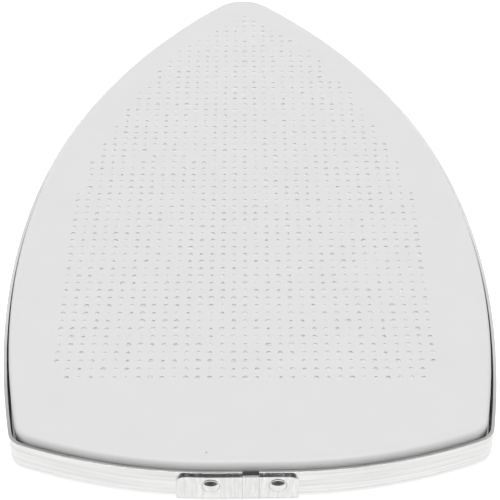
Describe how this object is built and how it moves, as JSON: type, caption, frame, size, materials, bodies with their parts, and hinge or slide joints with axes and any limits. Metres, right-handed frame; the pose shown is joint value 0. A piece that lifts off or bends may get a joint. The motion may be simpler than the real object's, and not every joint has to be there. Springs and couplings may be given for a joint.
{
  "type": "iron shoe cover",
  "caption": "Slip-on white PTFE sole in a bright aluminium strip frame, fitted over the soleplate of a steam iron.",
  "frame": {"origin": "centre of the bounding box at its lowest face, which is the folded edge of the heel joint plate", "axes": "+Y points from the heel to the tip, +Z points out of the smooth working face, +X across"},
  "size_m": [0.1422, 0.2356, 0.0121],
  "materials": {
    "ptfe_white": "satin",
    "strip_aluminium": "bright rolled",
    "plate_aluminium": "bright rolled"
  },
  "bodies": {
    "root": {"sole": "ptfe_white", "frame_band": "strip_aluminium", "heel_joint_plate": "plate_aluminium"}
  },
  "joints": []
}
